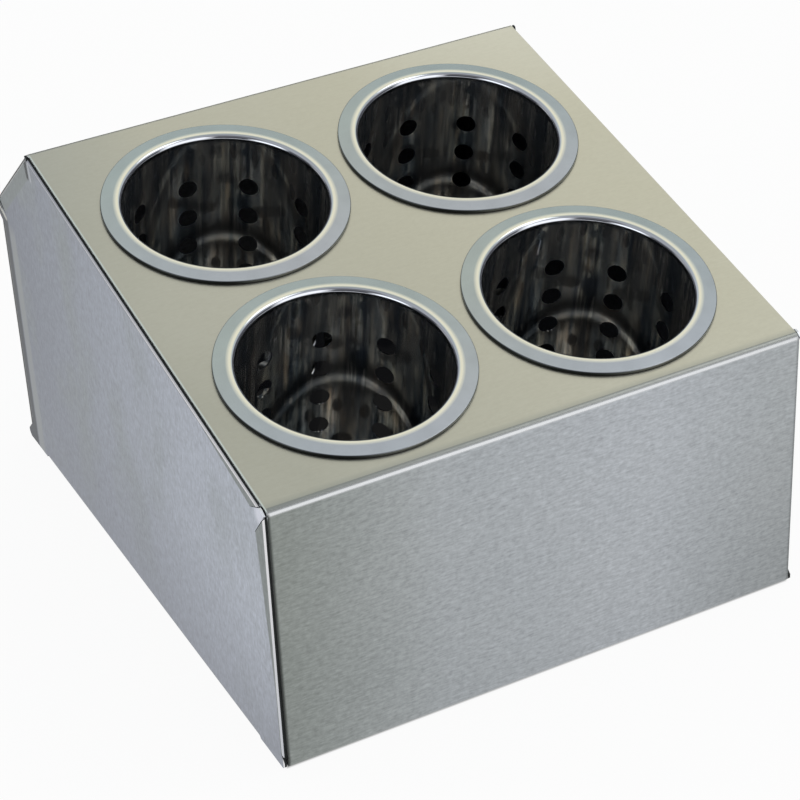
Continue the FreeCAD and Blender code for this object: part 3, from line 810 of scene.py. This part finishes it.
def cup_skin(turn):
    """A whole cup: wall with holes, rounded floor, rolled lip and sloping rim."""
    skin = Skin()
    count = HOLE_COLUMNS * CELL_STEPS
    first = turn - math.pi / HOLE_COLUMNS
    angles = [first + 2 * math.pi * number / count for number in range(count)]
    wall = BORE + CUP_SHEET
    field_top = RIM_CREST - FIRST_ROW + ROW_PITCH / 2
    field_foot = field_top - HOLE_ROWS * ROW_PITCH
    lip = (BORE + LIP_RADIUS, RIM_CREST - LIP_RADIUS)
    edge = (RIM_RADIUS - RIM_ROUND, RIM_EDGE - RIM_ROUND)
    slope = math.degrees(math.atan2(RIM_CREST - RIM_EDGE, RIM_RADIUS - BORE - LIP_RADIUS))

    # upper skin, from the field of holes over the lip to the rim's foot
    rolled = arc(lip, LIP_RADIUS, 180, 90 - slope, LIP_STEPS)
    tip = arc(edge, RIM_ROUND, 90 - slope, 0, EDGE_STEPS)
    lathe(skin, straight((BORE, field_top), (BORE, lip[1])), angles)
    lathe(skin, rolled, angles)
    lathe(skin, straight(rolled[-1][:2], tip[0][:2]), angles)
    lathe(skin, tip, angles)
    lathe(skin, straight(tip[-1][:2], (RIM_RADIUS, 0.0)), angles)

    # under the rim and down the outside to the field of holes
    heel = RIM_RADIUS - CUP_SHEET
    under = flipped(arc(lip, LIP_RADIUS - CUP_SHEET, 90 - slope, 180, UNDER_STEPS))
    lathe(skin, straight((RIM_RADIUS, 0.0), (heel, 0.0)), angles)
    lathe(skin, straight((heel, 0.0), (heel, edge[1])), angles)
    lathe(skin, straight((heel, edge[1]), under[0][:2]), angles)
    lathe(skin, under, angles)
    lathe(skin, straight(under[-1][:2], (wall, field_top)), angles)

    # the field of holes
    for row in range(HOLE_ROWS):
        for column in range(HOLE_COLUMNS):
            middle = turn + 2 * math.pi * column / HOLE_COLUMNS
            wall_patch(skin, middle, RIM_CREST - FIRST_ROW - row * ROW_PITCH)

    # below the field: outside and inside down to the floor
    lathe(skin, straight((wall, field_foot), (wall, CORNER[1])), angles)
    lathe(skin, arc(CORNER, FLOOR_ROUND, 0, -90, CORNER_STEPS), angles)
    lathe(skin, flipped(arc(CORNER, INNER_ROUND, -90, 0, CORNER_STEPS)), angles)
    lathe(skin, straight((BORE, CORNER[1]), (BORE, field_foot)), angles)
    drained_floor(skin, angles)
    return skin


def seat_of(node):
    """Where a cup stands: the middle of its rim's foot, its axis and the direction up the slope."""
    joint = [entry for entry in frame["joints"] if entry["child"] == node][0]
    axis = Vector(joint["axis"]).normalized()
    up_slope = Vector((1.0, 0.0, 0.0)).cross(axis) * -1.0
    points = [vertex.co for vertex in frame["nodes"][node].data.vertices]

    def middle(direction):
        reach = [point.dot(direction) for point in points]
        return (min(reach) + max(reach)) / 2

    crest = max(point.dot(axis) for point in points)
    across = Vector((1.0, 0.0, 0.0))
    foot = crest - RIM_CREST * MM
    return across * middle(across) + up_slope * middle(up_slope) + axis * foot, axis, up_slope


def make_cup(node, material):
    skin = cup_skin(math.radians(CUP_TURNS[node]))
    seat, axis, up_slope = seat_of(node)
    across = up_slope.cross(axis)
    place = Matrix((across, up_slope, axis)).transposed().to_4x4()
    place.translation = seat
    own = [Vector(point) * MM for point in skin.points]
    mesh = bpy.data.meshes.new(f"{node}_skin")
    mesh.from_pydata([place @ point for point in own], [], skin.faces)
    mesh.polygons.foreach_set("use_smooth", [True] * len(mesh.polygons))
    attribute = mesh.attributes.new("own_place", "FLOAT_VECTOR", "POINT")
    attribute.data.foreach_set("vector", [value for point in own for value in point])
    turned = place.to_3x3()
    mesh.normals_split_custom_set([tuple(turned @ Vector(normal)) for normal in skin.normals])
    mesh.validate(clean_customdata=False)
    mesh.materials.append(material)
    cup = bpy.data.objects.new(f"{node}_drawn", mesh)
    bpy.context.scene.collection.objects.link(cup)
    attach(cup, node)
    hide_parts(node)


# Stage: half the floor's side in metres, and the light round it
FLOOR_HALF = 9.0
OVERHEAD = rgb(0.56, 0.58, 0.60)
HORIZON = grey(0.92)
HALO = rgb(0.92, 0.98, 0.98)
WARM_GLOW = rgb(1.04, 1.03, 0.95)
GLOW_TOWARDS = Vector((0.371, 0.484, 0.792)).normalized()
DIM_PATCH = rgb(0.22, 0.22, 0.23)
DARK_BAND = rgb(0.10, 0.10, 0.11)

# Bright boxes: heading and half width in degrees, foot and top as Z of a unit direction, and colour
REAR_BOX = (-132.0, 9.0, -0.12, 0.30, grey(0.95))
RIGHT_BOX = (17.0, 24.0, -0.03, 0.60, grey(1.7))
LEFT_BOX = (-67.0, 17.0, 0.0, 0.36, rgb(2.0, 2.05, 2.1))


def make_floor():
    """White paper to the eye and in reflections, and dim in the shade under the housing."""
    material, nodes = new_material("studio_floor")
    paths = nodes.add("ShaderNodeLightPath")
    seen = nodes.math("MAXIMUM", paths.outputs["Is Camera Ray"], paths.outputs["Is Glossy Ray"])
    seen = nodes.math("MAXIMUM", seen, paths.outputs["Is Transmission Ray"])
    place = nodes.add("ShaderNodeTexCoord").outputs["Object"]
    mottle = nodes.noise(place, 3.0, 2.0, 0.5)
    paper = nodes.blend(mottle, grey(0.86), grey(0.90))
    spot = nodes.parts(nodes.vector_math("ABSOLUTE", place))
    outside = nodes.math(
        "MAXIMUM",
        nodes.span(spot["X"], (WEB - 3) * MM, (WEB - 1) * MM),
        nodes.span(spot["Y"], (WRAP_BACK - 3) * MM, (WRAP_BACK - 1) * MM),
    )
    diffuse = nodes.add("ShaderNodeBsdfDiffuse", {"Color": nodes.blend(outside, grey(0.05), paper)})
    glow = nodes.add("ShaderNodeEmission", {"Color": grey(1.0), "Strength": nodes.mix(outside, 0.010, 1.0)})
    shown = nodes.share(seen, 0.94)
    mixed = nodes.add("ShaderNodeMixShader", {0: shown, 1: diffuse.outputs[0], 2: glow.outputs[0]})
    finish_material(nodes, mixed.outputs[0])
    mesh = bpy.data.meshes.new("studio_floor")
    corners = [(-FLOOR_HALF, -FLOOR_HALF, 0), (FLOOR_HALF, -FLOOR_HALF, 0)]
    corners += [(FLOOR_HALF, FLOOR_HALF, 0), (-FLOOR_HALF, FLOOR_HALF, 0)]
    mesh.from_pydata(corners, [], [(0, 1, 2, 3)])
    mesh.materials.append(material)
    floor = bpy.data.objects.new("studio_floor", mesh)
    bpy.context.scene.collection.objects.link(floor)


def heading(degrees):
    """A level direction, by its angle from the front towards the right."""
    return Vector((math.sin(math.radians(degrees)), -math.cos(math.radians(degrees)), 0.0))


def softbox(nodes, level, height, middle, half_width, low, high):
    """A soft-edged box in the sky: middle and half width in degrees, foot and top as Z of a direction."""
    near, far = (math.cos(math.radians(half_width + extra)) for extra in (-6, 6))
    sides = nodes.span(nodes.dot(level, heading(middle)), far, near)
    return nodes.both(sides, nodes.window(height, low - 0.03, low + 0.03, high - 0.06, high + 0.06))


def make_world():
    """A pale studio: a sky over a dark band, a warm glow behind to the right and three bright boxes."""
    world = bpy.data.worlds.new("studio")
    bpy.context.scene.world = world
    world.use_nodes = True
    nodes = Nodes(world.node_tree)
    direction = nodes.add("ShaderNodeTexCoord").outputs["Generated"]
    height = nodes.parts(direction)["Z"]
    level = nodes.vector_math("NORMALIZE", nodes.scaled(direction, (1.0, 1.0, 0.0)))
    sky = nodes.blend(nodes.span(height, 0.02, 0.30), HORIZON, OVERHEAD)
    towards = nodes.dot(direction, GLOW_TOWARDS)
    sky = nodes.blend(nodes.span(towards, 0.72, 0.93), sky, HALO)
    sky = nodes.blend(nodes.span(towards, 0.93, 0.985), sky, WARM_GLOW)
    sky = nodes.blend(softbox(nodes, level, height, -26.0, 30.0, 0.36, 0.80), sky, DIM_PATCH)
    sky = nodes.blend(nodes.window(height, -0.2, -0.1, 0.36, 0.46), sky, DARK_BAND)
    for middle, half_width, low, high, colour in (REAR_BOX, RIGHT_BOX, LEFT_BOX):
        sky = nodes.blend(softbox(nodes, level, height, middle, half_width, low, high), sky, colour)
    background = nodes.add("ShaderNodeBackground", {"Color": sky, "Strength": 1.0})
    nodes.add("ShaderNodeOutputWorld", {"Surface": background.outputs[0]})


def make_light(name, place, aim, side, power, colour):
    light = bpy.data.lights.new(name, "AREA")
    light.shape = "RECTANGLE"
    light.size, light.size_y = side
    light.energy = power
    light.color = colour
    lamp = bpy.data.objects.new(name, light)
    lamp.location = place
    lamp.rotation_euler = (Vector(aim) - Vector(place)).to_track_quat("-Z", "Y").to_euler()
    bpy.context.scene.collection.objects.link(lamp)


def make_camera():
    azimuth, elevation, roll = (
        math.radians(value) for value in (CAMERA_AZIMUTH, CAMERA_ELEVATION, CAMERA_ROLL)
    )
    back = Vector(
        (
            math.sin(azimuth) * math.cos(elevation),
            -math.cos(azimuth) * math.cos(elevation),
            math.sin(elevation),
        )
    )
    right = Vector((0.0, 0.0, 1.0)).cross(back).normalized()
    up = back.cross(right)
    right, up = (
        right * math.cos(roll) + up * math.sin(roll),
        up * math.cos(roll) - right * math.sin(roll),
    )
    camera = bpy.data.objects.new("camera", bpy.data.cameras.new("camera"))
    place = Matrix((right, up, back)).transposed().to_4x4()
    place.translation = CAMERA_TARGET + back * CAMERA_DISTANCE
    camera.matrix_world = place
    camera.data.sensor_width = SENSOR
    camera.data.lens = CAMERA_FOCUS / IMAGE_SIDE * SENSOR
    bpy.context.scene.collection.objects.link(camera)
    bpy.context.scene.camera = camera


def dress(node, material):
    mesh = frame["nodes"][node].data
    mesh.materials.clear()
    mesh.materials.append(material)


dress("wrap_panel", wrap_steel())
side_metal = side_steel()
dress("left_side_panel", side_metal)
dress("right_side_panel", side_metal)
cup_metal = cup_steel()
for cup_node in CUP_TURNS:
    make_cup(cup_node, cup_metal)

make_floor()
make_world()
make_light(
    "key",
    place=(0.9, -0.4, 1.6),
    aim=(0.0, 0.0, 0.1),
    side=(1.0, 0.6),
    power=4.0,
    colour=(1.0, 0.98, 0.94),
)
make_camera()
bpy.context.scene.view_settings.view_transform = "Standard"
